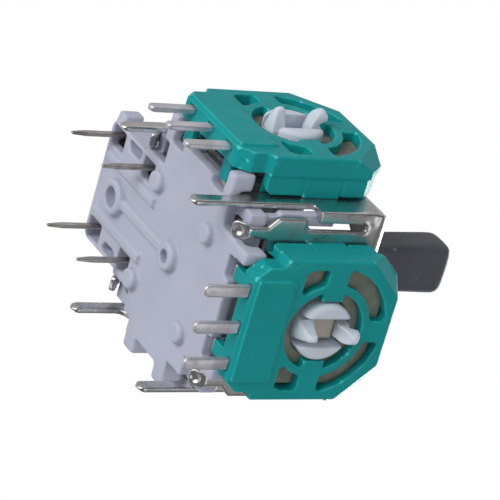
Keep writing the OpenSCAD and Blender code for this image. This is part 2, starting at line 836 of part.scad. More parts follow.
// Flat terminal blade, laid on the board's front, with a tapered end
module sensor_terminal(k) {
    w = terminal_w / 2;
    color(tin) slab_y(board_y - terminal_t, board_y) translate([k * terminal_pitch, 0])
        polygon([
            [-w, -terminal_drop + terminal_tip], [-w * 0.8, -terminal_drop + terminal_tip / 3],
            [-w * 0.4, -terminal_drop], [w * 0.4, -terminal_drop],
            [w * 0.8, -terminal_drop + terminal_tip / 3], [w, -terminal_drop + terminal_tip],
            [w, terminal_top], [-w, terminal_top]]);
}

// A hooked prong of the rotor, above the axis
module hooked_prong() {
    reach = rotor_front - prong_y;
    neck = rotor_r - prong_neck;
    nose = rotor_r + prong_hook;
    intersection() {
        translate([0, rotor_front, pivot_z]) rotate([90, 0, 0]) rotate_extrude() polygon([
            [prong_in, 0], [rotor_r, 0], [rotor_r, reach - prong_neck_len],
            [neck, reach - prong_neck_len + prong_neck], [nose, reach - prong_hook_len],
            [nose, reach - prong_nose], [neck + bite, reach], [neck - fit, reach],
            [prong_in + bite, reach - prong_nose], [prong_in, reach - prong_neck_len]]);
        // Finger shape, seen from above
        translate([0, 0, pivot_z]) linear_extrude(far) {
            translate([-prong_half, prong_y + prong_half]) square([2 * prong_half, reach - prong_half]);
            translate([0, prong_y + prong_half]) circle(r = prong_half);
        }
    }
}

// The other prong, a claw that narrows and leans in towards its tip
module claw_prong() {
    reach = rotor_front - prong_y;
    intersection() {
        translate([0, rotor_front, pivot_z]) rotate([90, 0, 0]) rotate_extrude() polygon([
            [prong_in, 0], [rotor_r, 0], [rotor_r, reach - claw_len],
            [rotor_r - prong_neck, reach - bite], [rotor_r - 2 * prong_neck, reach],
            [claw_in + bite, reach], [claw_in, reach - bite], [prong_in, reach - claw_len]]);
        translate([0, 0, pivot_z - far]) linear_extrude(far) {
            polygon([
                [-claw_half, rotor_front], [claw_half, rotor_front], [claw_half, prong_y + claw_len],
                [claw_tip, prong_y + claw_tip], [-claw_tip, prong_y + claw_tip],
                [-claw_half, prong_y + claw_len]]);
            translate([0, prong_y + claw_tip]) circle(r = claw_tip);
        }
    }
}

// A low crescent of the rotor, beside the axis
module rotor_crescent() {
    reach = rotor_front + face_y + crescent_out;
    intersection() {
        translate([0, rotor_front, pivot_z]) rotate([90, 0, 0]) rotate_extrude() {
            square([rotor_r, reach - crescent_round]);
            square([rotor_r - crescent_round, reach]);
            translate([rotor_r - crescent_round, reach - crescent_round]) circle(r = crescent_round);
        }
        block([crescent_in, -far, 0], [far, rotor_front, far]);
    }
}

module sensor_rotor() {
    color(white) {
        difference() {
            union() {
                rod_y(rotor_flange_r, rotor_front, rotor_back);
                rod_y(rotor_r, board_back, rotor_front + bite);
                hooked_prong();
                claw_prong();
            }
            block([-tongue_w / 2 - tongue_gap, -tongue_end - pass_gap, pivot_z - prong_in],
                [tongue_w / 2 + tongue_gap, 0, pivot_z + prong_in]);
        }
        both_sides() rotor_crescent();
    }
}

// Spring contact on the rotor's flange: a ring with two raised contact pads
module sensor_wiper() {
    pad_x = (wiper_in + wiper_out) / 2;
    color(bronze) {
        difference() {
            rod_y(wiper_out, rotor_front - wiper_t, rotor_front);
            rod_y(wiper_in, rotor_front - wiper_t - cut, rotor_front + cut);
        }
        for (s = [-1, 1]) translate([s * pad_x, rotor_front, pivot_z]) rotate([90, 0, 0])
            cylinder(r = pad_r, h = rotor_front - board_back - board_gap);
    }
}

module lower_rocker() {
    color(beige) {
        block([-tongue_w / 2, -tongue_end, pivot_z - tongue_h / 2],
            [tongue_w / 2, -plate_out, pivot_z + tongue_h / 2]);
        rod_y(journal_r, -plate_out - journal_out, -collar_in);
        rod_y(collar_r, -plate_in + pass_gap, -collar_in);
        rod_y(shaft_r, -collar_in, -frame_slot_y - bite);
        rod_y(shaft_r, frame_slot_y + bite, collar_in);
        rod_y(presser_r, collar_in, presser_end);
        difference() {
            block([-frame_x, -frame_y, pivot_z - frame_z], [frame_x, frame_y, pivot_z + frame_z]);
            block([-frame_slot_x, -frame_slot_y, pivot_z - frame_z - cut],
                [frame_slot_x, frame_slot_y, pivot_z + frame_z + cut]);
            rod_x(pin_r + run_gap, -frame_x - cut, frame_x + cut);
        }
    }
}

module upper_rocker() {
    color(white) {
        difference() {
            intersection() {
                translate([0, 0, pivot_z]) sphere(r = arch_r);
                block([-arch_r, -arch_w / 2, pivot_z + arch_foot], [arch_r, arch_w / 2, pivot_z + arch_r]);
            }
            rod_y(arch_bore_r, -arch_w, arch_w);
            block([-arch_bore_r, -arch_w, pivot_z + arch_foot - cut], [arch_bore_r, arch_w, pivot_z]);
            block([-slot_reach, -stick_y / 2 - slot_gap, pivot_z],
                [slot_reach, stick_y / 2 + slot_gap, pivot_z + arch_r + cut]);
        }
        both_sides() {
            rod_x(boss_r, boss_in, boss_out);
            rod_x(collar_r, boss_out, plate_in - pass_gap);
            rod_x(journal_r, boss_out, plate_out + journal_out);
        }
        block([-tongue_end, -tongue_w / 2, pivot_z - tongue_h / 2],
            [-plate_out, tongue_w / 2, pivot_z + tongue_h / 2]);
    }
}

module stick() {
    c = stick_chamfer;
    color(dark) {
        translate([0, 0, pivot_z]) linear_extrude(stick_top - pivot_z - c) round_rect(stick_x, stick_y, stick_edge_r);
        hull() for (k = [0, 1])
            translate([0, 0, stick_top - c - 0.01 + k * c]) linear_extrude(0.01)
                round_rect(stick_x - 2 * k * c, stick_y - 2 * k * c, stick_edge_r, $fn = 32);
        translate([0, 0, pivot_z]) {
            block([-hub_x / 2, -stick_y / 2, -hub_h], [hub_x / 2, stick_y / 2, hub_h]);
            block([-neck_x / 2, -neck_y / 2, flange_z], [neck_x / 2, neck_y / 2, -hub_h + bite]);
            translate([0, 0, flange_z - flange_t]) cylinder(r = flange_r, h = flange_t);
            translate([0, 0, rod_end]) cylinder(r = rod_r, h = flange_z - rod_end);
        }
        rod_x(pin_r, -frame_x + pass_gap, frame_x - pass_gap);
    }
}

// Points of one ring of the spring's wire, a share of the way along the coil
function ring(share, low, high) = [for (i = [0:wire_sides - 1])
    let (a = 360 * i / wire_sides, t = 360 * turns * share, r = spring_r + wire_d / 2 * cos(a))
    [r * cos(t), r * sin(t), low + (high - low) * share + wire_d / 2 * sin(a)]];

module return_spring() {
    low = dish_top + wire_d / 2 + touch;
    high = flange_z - flange_t - wire_d / 2 - touch;
    rings = turns * coil_steps;
    n = wire_sides;
    points = [for (k = [0:rings]) each ring(k / rings, low, high)];
    sides = [for (k = [0:rings - 1], i = [0:n - 1])
        [k * n + i, (k + 1) * n + i, (k + 1) * n + (i + 1) % n, k * n + (i + 1) % n]];
    start = [for (i = [0:n - 1]) i];
    end = [for (i = [n - 1:-1:0]) rings * n + i];
    color(steel) translate([0, 0, pivot_z]) polyhedron(points, concat(sides, [start, end]));
}

module spring_foot() {
    color(white) translate([0, 0, pivot_z]) difference() {
        union() {
            intersection() {
                sphere(r = dish_sphere_r, $fn = 96);
                translate([0, 0, -dish_sphere_r]) cylinder(r = dish_r, h = dish_sphere_r + dish_top);
            }
            translate([0, 0, dish_top - bite]) cylinder(r = foot_tube_r, h = foot_tube_top - dish_top + bite);
        }
        translate([0, 0, foot_bore_end]) cylinder(r = rod_r + run_gap, h = far);
    }
}

base();
steel_cover();
sensor_housing();  // front_housing
sensor_board();  // front_board
sensor_terminal(-1);  // front_terminal_1
sensor_terminal(0);  // front_terminal_2
sensor_terminal(1);  // front_terminal_3
sensor_rotor();  // front_rotor
sensor_wiper();  // front_wiper
on_left() sensor_housing();  // left_housing
on_left() sensor_board();  // left_board
on_left() sensor_terminal(-1);  // left_terminal_1
on_left() sensor_terminal(0);  // left_terminal_2
on_left() sensor_terminal(1);  // left_terminal_3
on_left() sensor_rotor();  // left_rotor
on_left() sensor_wiper();  // left_wiper
switch_body();
switch_lid();
switch_dome();
switch_button();
switch_terminal(-1, -1);  // switch_terminal_1
switch_terminal(-1, 1);  // switch_terminal_2
switch_terminal(1, -1);  // switch_terminal_3
switch_terminal(1, 1);  // switch_terminal_4
lower_rocker();
upper_rocker();
stick();
return_spring();
spring_foot();
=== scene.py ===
import json
import math

import bmesh
import bpy
from mathutils import Matrix, Vector


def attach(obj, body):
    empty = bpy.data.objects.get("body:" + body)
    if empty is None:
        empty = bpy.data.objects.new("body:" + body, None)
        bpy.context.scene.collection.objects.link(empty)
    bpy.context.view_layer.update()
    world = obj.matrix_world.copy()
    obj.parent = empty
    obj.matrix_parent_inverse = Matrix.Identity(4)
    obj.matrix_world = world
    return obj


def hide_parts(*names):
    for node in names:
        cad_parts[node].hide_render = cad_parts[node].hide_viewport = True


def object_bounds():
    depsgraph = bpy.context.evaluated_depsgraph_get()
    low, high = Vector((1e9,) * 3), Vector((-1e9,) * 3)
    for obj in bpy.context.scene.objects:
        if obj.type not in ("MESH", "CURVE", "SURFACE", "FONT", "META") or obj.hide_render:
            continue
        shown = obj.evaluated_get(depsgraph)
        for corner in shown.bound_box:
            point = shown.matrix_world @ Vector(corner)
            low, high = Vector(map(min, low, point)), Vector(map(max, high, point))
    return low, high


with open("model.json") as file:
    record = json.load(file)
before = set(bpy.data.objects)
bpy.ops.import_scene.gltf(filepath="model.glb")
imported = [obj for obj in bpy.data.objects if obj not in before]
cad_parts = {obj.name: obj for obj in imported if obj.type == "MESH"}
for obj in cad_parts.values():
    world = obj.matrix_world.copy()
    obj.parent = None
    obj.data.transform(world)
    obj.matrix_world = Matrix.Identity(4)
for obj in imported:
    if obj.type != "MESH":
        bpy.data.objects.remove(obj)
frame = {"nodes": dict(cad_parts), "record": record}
cad_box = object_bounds()
nodes = frame["nodes"]
MM = 0.001

# The photograph's camera, in millimetres: its place, the way it looks and the way to its right
CAMERA_PLACE = Vector((-78.45, -149.35, -95.76))
CAMERA_LOOK = Vector((0.3955, 0.7586, 0.5178))
CAMERA_RIGHT = Vector((-0.2612, -0.4477, 0.8552))
CAMERA_LENS = 223.43
SENSOR = 36
CLIP = (0.01, 20)


def add_camera():
    data = bpy.data.cameras.new("camera")
    data.lens = CAMERA_LENS
    data.sensor_width = SENSOR
    data.clip_start, data.clip_end = CLIP
    camera = bpy.data.objects.new("camera", data)
    bpy.context.scene.collection.objects.link(camera)
    look = CAMERA_LOOK.normalized()
    right = (CAMERA_RIGHT - look * CAMERA_RIGHT.dot(look)).normalized()
    up = right.cross(look)
    turn = Matrix((right, up, -look)).transposed()
    camera.matrix_world = Matrix.Translation(CAMERA_PLACE * MM) @ turn.to_4x4()
    bpy.context.scene.camera = camera


class Finish:
    """A material and short ways to add nodes to it."""

    def __init__(self, name):
        self.material = bpy.data.materials.new(name)
        self.material.use_nodes = True
        self.tree = self.material.node_tree
        self.shader = self.tree.nodes["Principled BSDF"]
        self.place = self.tree.nodes.new("ShaderNodeTexCoord").outputs["Object"]

    def link(self, source, target):
        self.tree.links.new(source, target)

    def set(self, **values):
        for name, value in values.items():
            self.shader.inputs[name.replace("_", " ")].default_value = value

    def noise(self, scale, detail=3, stretch=(1, 1, 1), roughness=0.55):
        squeeze = self.tree.nodes.new("ShaderNodeMapping")
        squeeze.inputs["Scale"].default_value = stretch
        self.link(self.place, squeeze.inputs["Vector"])
        node = self.tree.nodes.new("ShaderNodeTexNoise")
        node.inputs["Scale"].default_value = scale
        node.inputs["Detail"].default_value = detail
        node.inputs["Roughness"].default_value = roughness
        self.link(squeeze.outputs["Vector"], node.inputs["Vector"])
        return node.outputs["Fac"]

    def ramp(self, source, stops):
        """Colours along a value, from stops of a place and a colour (red, green, blue)."""
        node = self.tree.nodes.new("ShaderNodeValToRGB")
        bar = node.color_ramp.elements
        for k, (place, colour) in enumerate(stops):
            stop = bar[k] if k < 2 else bar.new(place)
            stop.position = place
            stop.color = (*colour, 1)
        self.link(source, node.inputs["Fac"])
        return node.outputs["Color"]

    def grey(self, source, low, high, start=0.3, end=0.7):
        return self.ramp(source, [(start, (low,) * 3), (end, (high,) * 3)])

    def mix(self, amount, first, colour):
        """The first colour, turned into a constant one by the amount."""
        node = self.tree.nodes.new("ShaderNodeMix")
        node.data_type = "RGBA"
        self.link(amount, node.inputs["Factor"])
        self.link(first, node.inputs["A"])
        node.inputs["B"].default_value = (*colour, 1)
        return node.outputs["Result"]

    def pointiness(self):
        """Above 0.5 along the outer edges of a finely meshed piece, below 0.5 in its corners."""
        return self.tree.nodes.new("ShaderNodeNewGeometry").outputs["Pointiness"]

    def bump(self, height, distance, strength, edge):
        """Relief of a depth in metres, on edges that look rounded by a radius in metres."""
        node = self.tree.nodes.new("ShaderNodeBump")
        node.inputs["Strength"].default_value = strength
        node.inputs["Distance"].default_value = distance
        self.link(height, node.inputs["Height"])
        soft = self.tree.nodes.new("ShaderNodeBevel")
        soft.samples = 6
        soft.inputs["Radius"].default_value = edge
        self.link(soft.outputs["Normal"], node.inputs["Normal"])
        self.link(node.outputs["Normal"], self.shader.inputs["Normal"])


# Scales of the patterns, in cells a metre
CLOUDS = 260
BOARD_GRAIN = 1500
GLOSS_PATCHES = 900
PLASTIC_GRAIN = 3200
SPECKS = 2600
STAINS = 420
SCRATCHES = 1500
GRIME = 760
# Stretch of the scratches and of the grime along the upright axis
DRAWN = (1, 1, 0.15)
STREAKED = (1, 1, 0.45)
# Start and end of the painted highlights on the rims and of the painted shade in the creases, in
# pointiness
RIM_HIGHLIGHT_RANGE = (0.527, 0.567)
CREASE_SHADE_RANGE = (0.42, 0.485)
# Radius of the edges' look and depth of the grain, in metres
PLASTIC_EDGE = 0.00008
PLASTIC_RELIEF = 0.000006
METAL_EDGE = 0.00006
METAL_RELIEF = 0.00001


def moulded(name, light, dark, roughness, cloud=CLOUDS, subsurface=0.0, rim_highlight=None, crease_shade=None,
            specks=None, gloss=0.35):
    """Moulded plastic: clouds of colour, grain and soft edges, and where given a painted highlight on the
    rims, painted shade in the creases and specks.
    """
    f = Finish(name)
    colour = f.ramp(f.noise(cloud, 4), [(0.3, dark), (0.7, light)])
    if rim_highlight:
        # painted highlight: a lighter colour along the outer edges, standing in for the light they catch
        colour = f.mix(f.grey(f.pointiness(), 0.0, 1.0, *RIM_HIGHLIGHT_RANGE), colour, rim_highlight)
    if crease_shade:
        # painted shade: a darker colour in the creases, where shade falls
        colour = f.mix(f.grey(f.pointiness(), 1.0, 0.0, *CREASE_SHADE_RANGE), colour, crease_shade)
    if specks:
        colour = f.mix(f.grey(f.noise(SPECKS, 2), 0.0, 1.0, 0.7, 0.76), colour, specks)
    f.link(colour, f.shader.inputs["Base Color"])
    patches = f.grey(f.noise(GLOSS_PATCHES), roughness - 0.07, roughness + 0.09)
    f.link(patches, f.shader.inputs["Roughness"])
    f.bump(f.noise(PLASTIC_GRAIN, 2), PLASTIC_RELIEF, 0.35, PLASTIC_EDGE)
    f.set(IOR=1.5, Specular_IOR_Level=gloss)
    if subsurface:
        f.set(Subsurface_Weight=subsurface, Subsurface_Scale=0.0006)
        f.set(Subsurface_Radius=(1, 0.9, 0.8))
    return f.material


def plated(name, light, dark, roughness, streak=(1, 1, 1), grime=None):
    """Tin-plated sheet or wire: bright metal with dull stains, fine scratches or dark streaks."""
    f = Finish(name)
    stains = f.noise(STAINS, 5, roughness=0.7)
    scratches = f.noise(SCRATCHES, stretch=streak)
    colour = f.ramp(stains, [(0.34, dark), (0.6, light)])
    if grime:
        marks = f.noise(GRIME, 6, STREAKED, roughness=0.8)
        colour = f.mix(f.grey(marks, 0.0, 1.0, 0.6, 0.7), colour, grime)
    f.link(colour, f.shader.inputs["Base Color"])
    f.link(f.grey(stains, roughness + 0.2, roughness, 0.35, 0.65), f.shader.inputs["Roughness"])
    f.bump(scratches, METAL_RELIEF, 0.45, METAL_EDGE)
    f.set(Metallic=1.0)
    return f.material


BODY_OF = {name: body for body, names in frame["record"]["behaviour"]["bodies"].items() for name in names}
FINISHES = {
    # the base has painted shade in its creases
    "base_plastic": moulded("base_plastic", (0.51, 0.53, 0.645), (0.46, 0.48, 0.59), 0.5, subsurface=0.1,
                            crease_shade=(0.2, 0.2, 0.27)),
    # the teal plastic has a painted highlight on its rims and painted shade in its creases
    "teal_plastic": moulded("teal_plastic", (0.006, 0.335, 0.345), (0.005, 0.3, 0.305), 0.4,
                            rim_highlight=(0.07, 0.58, 0.55), crease_shade=(0.003, 0.2, 0.2), gloss=0.15),
    "tinned_steel": plated("tinned_steel", (0.76, 0.75, 0.75), (0.48, 0.47, 0.46), 0.2,
                           grime=(0.13, 0.12, 0.12)),
    "terminal_tin": plated("terminal_tin", (0.8, 0.79, 0.84), (0.58, 0.57, 0.6), 0.45, DRAWN),
    "switch_tin": plated("switch_tin", (0.58, 0.54, 0.52), (0.33, 0.29, 0.27), 0.3, DRAWN),
    "resistance_board": moulded("resistance_board", (0.25, 0.265, 0.21), (0.17, 0.18, 0.15), 0.6,
                                cloud=BOARD_GRAIN),
    "white_plastic": moulded("white_plastic", (0.68, 0.74, 0.83), (0.63, 0.69, 0.78), 0.42,
                             subsurface=0.15),
    "beige_plastic": moulded("beige_plastic", (0.52, 0.47, 0.4), (0.44, 0.4, 0.34), 0.5),
    # the stick has a painted highlight on its rims, besides its specks
    "stick_plastic": moulded("stick_plastic", (0.1, 0.1, 0.125), (0.085, 0.085, 0.106), 0.46,
                             rim_highlight=(0.2, 0.2, 0.24), specks=(0.2, 0.2, 0.25)),
    "black_plastic": moulded("black_plastic", (0.02, 0.02, 0.022), (0.014, 0.014, 0.016), 0.5),
    "contact_bronze": plated("contact_bronze", (0.72, 0.48, 0.22), (0.5, 0.32, 0.15), 0.3),
    "spring_wire": plated("spring_wire", (0.55, 0.55, 0.55), (0.4, 0.4, 0.4), 0.25),
}

SLOTS = {
    "base": "base_plastic",
    "steel_cover": "tinned_steel",
    "switch_body": "black_plastic",
    "switch_button": "black_plastic",
    "switch_lid": "tinned_steel",
    "switch_dome": "contact_bronze",
    "lower_rocker": "beige_plastic",
    "upper_rocker": "white_plastic",
    "stick": "stick_plastic",
    "return_spring": "spring_wire",
    "spring_foot": "white_plastic",
}
for side in ("front", "left"):
    SLOTS[side + "_housing"] = "teal_plastic"
    SLOTS[side + "_board"] = "resistance_board"
    SLOTS[side + "_rotor"] = "white_plastic"
    SLOTS[side + "_wiper"] = "contact_bronze"
    for k in (1, 2, 3):
        SLOTS[f"{side}_terminal_{k}"] = "terminal_tin"
for k in (1, 2, 3, 4):
    SLOTS[f"switch_terminal_{k}"] = "switch_tin"


# Size of the cells, in millimetres, that a moulding is rebuilt from, and how often its edges are smoothed
MOULDINGS = {
    "steel_cover": (0.085, 2),
    "base": (0.09, 3),
    "stick": (0.09, 12),
    "lower_rocker": (0.09, 3),
    "upper_rocker": (0.09, 3),
    "spring_foot": (0.09, 3),
    "front_housing": (0.075, 3),
    "left_housing": (0.075, 3),
    "front_rotor": (0.06, 4),
    "left_rotor": (0.06, 4),
}
# Width and steps of the rounding along the edges of metal and other hard pieces, in millimetres
ROUNDED = {
    "switch_body": (0.12, 2),
    "switch_button": (0.12, 2),
    "front_board": (0.04, 1),
    "left_board": (0.04, 1),
}
for k in (1, 2, 3):
    ROUNDED[f"front_terminal_{k}"] = (0.09, 2)
    ROUNDED[f"left_terminal_{k}"] = (0.09, 2)
for k in (1, 2, 3, 4):
    ROUNDED[f"switch_terminal_{k}"] = (0.07, 2)
# Distance in millimetres at which the vertices of loose triangles are joined
MERGE = 0.002
# Angles between faces that make an edge sharp, and that still count as flat
SHARP = math.radians(28)
FLAT = math.radians(0.5)
MOST_TRIANGLES = 180000


def merged_copy(node_name):
    """A copy of a node's shape in millimetres, with its loose triangles joined."""
    bm = bmesh.new()
    bm.from_mesh(nodes[node_name].data)
    bmesh.ops.scale(bm, vec=(1 / MM, 1 / MM, 1 / MM), verts=bm.verts)
    bmesh.ops.remove_doubles(bm, verts=bm.verts, dist=MERGE)
    return bm


def baked(bm, *modifiers):
    """The bmesh with modifiers applied, as a new bmesh in millimetres."""
    mesh = bpy.data.meshes.new("work")
    bm.to_mesh(mesh)
    bm.free()
    work = bpy.data.objects.new("work", mesh)
    bpy.context.scene.collection.objects.link(work)
    for kind, values in modifiers:
        modifier = work.modifiers.new(kind, kind)
        for name, value in values.items():
            setattr(modifier, name, value)
    bpy.context.view_layer.update()
    shape = work.evaluated_get(bpy.context.evaluated_depsgraph_get())
    result = bmesh.new()
    result.from_mesh(shape.to_mesh())
    shape.to_mesh_clear()
    bpy.data.objects.remove(work)
    bpy.data.meshes.remove(mesh)
    return result


def place(bm, name, node_name):
    """Puts a finished shape in the scene in place of its node."""
    bmesh.ops.scale(bm, vec=(MM, MM, MM), verts=bm.verts)
    for face in bm.faces:
        face.smooth = True
    mesh = bpy.data.meshes.new(name)
    bm.to_mesh(mesh)
    bm.free()
    piece = bpy.data.objects.new(name, mesh)
    bpy.context.scene.collection.objects.link(piece)
    slot = SLOTS[node_name]
    mesh.materials.append(FINISHES[slot])
    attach(piece, BODY_OF[node_name])
    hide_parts(node_name)
    return piece


def turned(bm, node_name, quarters):
    """Turns a piece of the left sensor to the front, or back, so that one recipe fits both sensors."""
    if node_name.startswith("left"):
        bmesh.ops.rotate(bm, verts=bm.verts, matrix=Matrix.Rotation(quarters * math.pi / 2, 3, "Z"))


def add_prism(bm, outline, back, front):
    """A solid with an outline of points (x, z) and its flat ends at two depths."""
    ends = [[bm.verts.new((x, depth, z)) for x, z in outline] for depth in (back, front)]
    count = len(outline)
    faces = [bm.faces.new(ends[0]), bm.faces.new(ends[1][::-1])]
    for k in range(count):
        after = (k + 1) % count
        faces.append(bm.faces.new((ends[1][k], ends[1][after], ends[0][after], ends[0][k])))
    bmesh.ops.recalc_face_normals(bm, faces=faces)


def add_part(bm, part, turn):
    """Adds another shape, turned about the upright axis by a number of quarters."""
    bmesh.ops.rotate(part, verts=part.verts, matrix=Matrix.Rotation(turn * math.pi / 2, 3, "Z"))
    bmesh.ops.recalc_face_normals(part, faces=part.faces)
    mesh = bpy.data.meshes.new("part")
    part.to_mesh(mesh)
    part.free()
    bm.from_mesh(mesh)
    bpy.data.meshes.remove(mesh)


# How near a vertex has to be to a plane to lie in it, in millimetres
SAME = 0.01
# The solids' own places, in millimetres, which the copies start from. The sensors are seen from the front
STEP_PLANE = -8.9
BOARD_FRONT = -8.85
BOARD_REAR = -8.15
FLAP_ENDS = -6.95
PIVOT_HEIGHT = 6.65
PLATE_OUT = 6.7
SHEET = 0.4
BEND = 1.1
BENDS_LOW = 10.3
LEG_INNER = 4.55
POST_OUT = 6.05
POST_IN = 5.45
# The step around the sensor's face, the ends of the side flaps and the filled corner beside the board
STEP_SHOWN = -9.15
FLAP_ENDS_SHOWN = -6.86
CORNER = [(2.9, 0.85), (3.5, 0.8), (4.2, 1.6), (4.2, 2.4), (4.02, 2.4), (4.02, 2.1)]
CORNER_MORE = 0.1
# A point (x, z) of the slanting line along which the board's lower corners are cut off
BOARD_CUT = (3.9, 2.1)
# The rotor's prongs: start, half width, distance from the axis, and how much of the width is kept
PRONG_START = -8.3
PRONG_HALF = 0.95
PRONG_IN = 0.8
PRONG_NARROWER = 0.72
# The strip that closes the cover's corners, and the curve from a leg's edge to the plate's lower edge
STRIP_LOW = 9.6
STRIP_STEPS = 6
LEG_CURVE = [(0, 0.5), (-0.08, 0.8), (-0.35, 1.07), (-0.8, 1.24), (-1.3, 1.32), (-1.35, 2.8), (0, 2.8)]
# The post in the base's front left corner
POST_OUT_SHOWN = 6.28
POST_TOP = 7.5
POST_HEIGHT = 4
# The swelling on the left of the base's extension
SWELLING = [(-4.86, 0.76), (-4.05, 0.76), (-4.05, 2.25), (-4.86, 2.25)]
SWELLING_Y = (9.95, 11.04)
# The two arms on the base's right side: how far out they are, their inner ends and what is added to them
ARM_IN = 6.7
ARM_ENDS = 2.3
ARM_LONGER = 0.6
# The stick above the cover: where it gets wider, and by how much from side to side and from front to rear
STICK_LOW = 11.7
STICK_WIDER = (1.16, 1.04)


def reshape_housing(bm):
    """Fills the lower corners beside the board and brings the step around the face forward."""
    for vert in bm.verts:
        if abs(vert.co.y - STEP_PLANE) < SAME:
            vert.co.y = STEP_SHOWN
        elif abs(vert.co.y - FLAP_ENDS) < SAME:
            vert.co.y = FLAP_ENDS_SHOWN
    for side in (1, -1):
        outline = [(side * x, z) for x, z in CORNER]
        add_prism(bm, outline, BOARD_FRONT - CORNER_MORE, BOARD_REAR + CORNER_MORE)


def reshape_board(bm):
    """Cuts the lower corners off, where the housing is solid."""
    for side in (1, -1):
        parts = bm.verts[:] + bm.edges[:] + bm.faces[:]
        cut = bmesh.ops.bisect_plane(bm, geom=parts, plane_co=(side * BOARD_CUT[0], 0, BOARD_CUT[1]),
                                     plane_no=(side, 0, -1), clear_outer=True)
        bmesh.ops.holes_fill(bm, edges=[e for e in cut["geom_cut"] if isinstance(e, bmesh.types.BMEdge)])


def reshape_rotor(bm):
    """Makes the prongs slender."""
    for vert in bm.verts:
        height = abs(vert.co.z - PIVOT_HEIGHT)
        if vert.co.y < PRONG_START and abs(vert.co.x) < PRONG_HALF and height > PRONG_IN:
            vert.co.x *= PRONG_NARROWER


def leg_curve(end):
    """The hollow curve on the inner side of a leg, at one end of the front plate."""
    part = bmesh.new()
    outline = [(LEG_INNER + run, height) for run, height in LEG_CURVE]
    add_prism(part, outline, -PLATE_OUT, SHEET - PLATE_OUT)
    if end > 0:
        bmesh.ops.scale(part, vec=(-1, 1, 1), verts=part.verts)
    return part


def corner_strip():
    """A round strip of sheet from one side plate to the next."""
    part = bmesh.new()
    centre = PLATE_OUT - BEND
    rings = []
    for radius in (BEND, BEND - SHEET):
        for height in (STRIP_LOW, BENDS_LOW + SHEET):
            ring = []
            for k in range(STRIP_STEPS + 1):
                angle = math.pi / 2 * k / STRIP_STEPS
                point = (centre + radius * math.cos(angle), centre + radius * math.sin(angle), height)
                ring.append(part.verts.new(point))
            rings.append(ring)
    outer_low, outer_high, inner_low, inner_high = rings
    around = (outer_low, outer_high, inner_high, inner_low)
    for k in range(STRIP_STEPS):
        for near, far in zip(around, around[1:] + around[:1]):
            part.faces.new((near[k], near[k + 1], far[k + 1], far[k]))
    for k in (0, STRIP_STEPS):
        part.faces.new([ring[k] for ring in around])
    return part


def reshape_cover(bm):
    """Closes the upper end of every corner and rounds the roots of the legs."""
    for side in (1, -1):
        for end in (1, -1):
            add_part(bm, leg_curve(end), side)
    for quarter in range(4):
        add_part(bm, corner_strip(), quarter)


def reshape_base(bm):
    """Widens the front left post, lengthens the arms on the right and adds the extension's swelling."""
    for vert in bm.verts:
        if vert.co.x > ARM_IN and abs(vert.co.y) < ARM_ENDS:
            vert.co.y -= math.copysign(ARM_LONGER, vert.co.y)
    post = [(-POST_OUT_SHOWN, POST_TOP - POST_HEIGHT), (-POST_IN, POST_TOP - POST_HEIGHT),
            (-POST_IN, POST_TOP), (-POST_OUT_SHOWN, POST_TOP)]
    add_prism(bm, post, -POST_IN, -POST_OUT)
    add_prism(bm, SWELLING, *reversed(SWELLING_Y))


def reshape_stick(bm):
    """Widens the stick above the cover."""
    for vert in bm.verts:
        if vert.co.z > STICK_LOW:
            vert.co.x *= STICK_WIDER[0]
            vert.co.y *= STICK_WIDER[1]


RESHAPED = {"steel_cover": reshape_cover, "base": reshape_base, "stick": reshape_stick}
for side in ("front", "left"):
    RESHAPED[side + "_housing"] = reshape_housing
    RESHAPED[side + "_board"] = reshape_board
    RESHAPED[side + "_rotor"] = reshape_rotor


def reshaped_copy(node_name):
    """A merged copy of a node's shape, changed where the photograph shows more or other detail."""
    bm = merged_copy(node_name)
    if node_name in RESHAPED:
        turned(bm, node_name, 1)
        RESHAPED[node_name](bm)
        turned(bm, node_name, -1)
    return bm


# Places that are rounder than the rest of their piece, in millimetres, and how often they are smoothed
ROUNDER = {
    "stick": (lambda spot: spot.z > 12.5, 55),
    "steel_cover": (lambda spot: min(abs(spot.x), abs(spot.y)) > 5.3 and spot.z > 9.3, 10),
    "front_rotor": (lambda spot: spot.y < -10.1, 14),
    "left_rotor": (lambda spot: spot.x < -10.1, 14),
    "base": (lambda spot: max(abs(spot.x), -spot.y) > 6.8 or abs(spot.x) > 4.3 and spot.y > 9, 14),
}


def mould(node_name, cell, rounds):
    """A piece with soft edges, rebuilt from small cells, smoothed, and thinned if it has many faces."""
    bm = baked(reshaped_copy(node_name),
               ("REMESH", {"mode": "VOXEL", "voxel_size": cell}),
               ("SMOOTH", {"factor": 0.5, "iterations": rounds}))
    if node_name in ROUNDER:
        inside, more = ROUNDER[node_name]
        verts = [vert for vert in bm.verts if inside(vert.co)]
        for _ in range(more):
            bmesh.ops.smooth_vert(bm, verts=verts, factor=0.5,
                                  use_axis_x=True, use_axis_y=True, use_axis_z=True)
    triangles = 2 * len(bm.faces)
    if triangles > MOST_TRIANGLES:
        bm = baked(bm, ("DECIMATE", {"ratio": MOST_TRIANGLES / triangles}))
    place(bm, node_name + "_soft", node_name)


def round_edges(node_name, width, steps):
    """A hard piece whose sharp edges are rounded."""
    bm = reshaped_copy(node_name)
    bmesh.ops.dissolve_limit(bm, angle_limit=FLAT, verts=bm.verts, edges=bm.edges)
    bm = baked(bm, ("BEVEL", {"width": width, "segments": steps, "limit_method": "ANGLE",
                              "angle_limit": SHARP, "use_clamp_overlap": False}))
    piece = place(bm, node_name + "_piece", node_name)
    piece.data.set_sharp_from_angle(angle=SHARP)


for name, slot in SLOTS.items():
    node = nodes[name]
    node.data.materials.clear()
    node.data.materials.append(FINISHES[slot])
for name, (cell, rounds) in MOULDINGS.items():
    mould(name, cell, rounds)
for name, (width, steps) in ROUNDED.items():
    round_edges(name, width, steps)


# Half of the floor's side, in metres
FLOOR_HALF = 0.6


